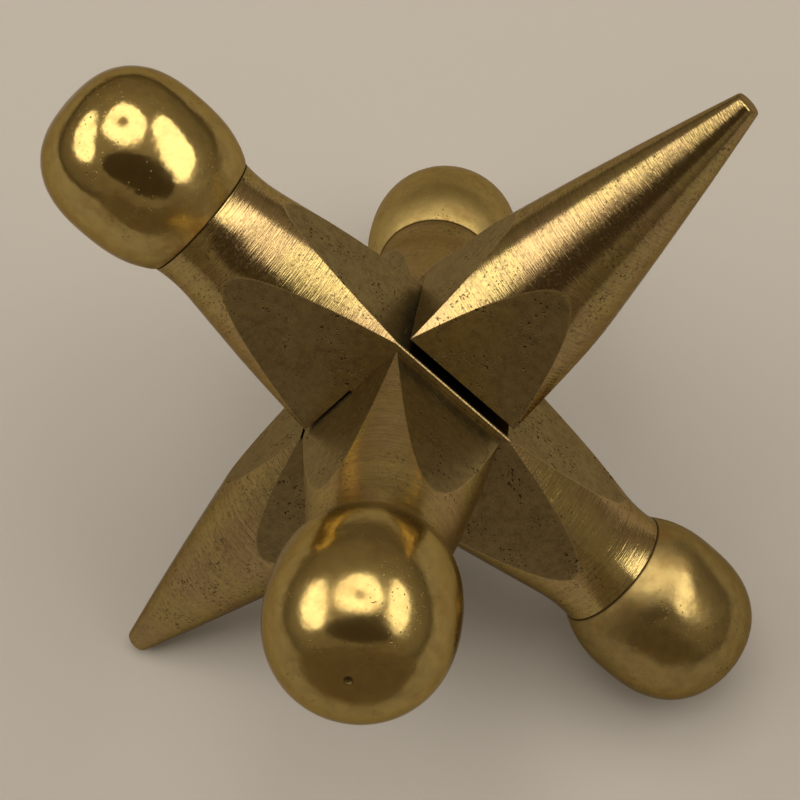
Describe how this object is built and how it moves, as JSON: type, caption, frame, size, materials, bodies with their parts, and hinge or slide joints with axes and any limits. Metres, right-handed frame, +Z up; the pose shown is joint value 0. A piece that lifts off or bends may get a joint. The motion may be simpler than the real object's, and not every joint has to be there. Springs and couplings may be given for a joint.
{
  "type": "jack-shaped take-apart puzzle",
  "caption": "Solid brass take-apart puzzle shaped like a playing jack: knobbed bars half-lapped in a cross, locked by a pointed key bar that turns on a round neck.",
  "frame": {"origin": "on the surface it stands on, under the middle of the standing puzzle's box", "axes": "+Z up; the front knob points towards -Y and the left knob towards -X; the puzzle stands on its right knob, back knob and low spike"},
  "size_m": [0.0666, 0.0726, 0.0538],
  "materials": {
    "bar_brass": "satin, turned arms with fine lathe lines, milled flats left dull",
    "key_brass": "satin, turned spikes with fine lathe lines, flats left dull",
    "knob_brass": "hand-polished, lightly pitted and tarnished",
    "stud_steel": "plain"
  },
  "bodies": {
    "cross": {"upper_lap_bar": "bar_brass", "lower_lap_bar": "bar_brass", "knob_left": "knob_brass", "knob_right": "knob_brass", "knob_front": "knob_brass", "knob_back": "knob_brass", "stud_left": "stud_steel", "stud_right": "stud_steel", "stud_front": "stud_steel", "stud_back": "stud_steel"},
    "key": {"spike_key_bar": "key_brass"}
  },
  "joints": [
    {"name": "key_turn", "type": "hinge", "parent": "cross", "child": "key", "pos_m": [-0.0002, 0.00012, 0.02665], "axis": [0.6628, 0.4079, 0.6279], "continuous": true}
  ]
}
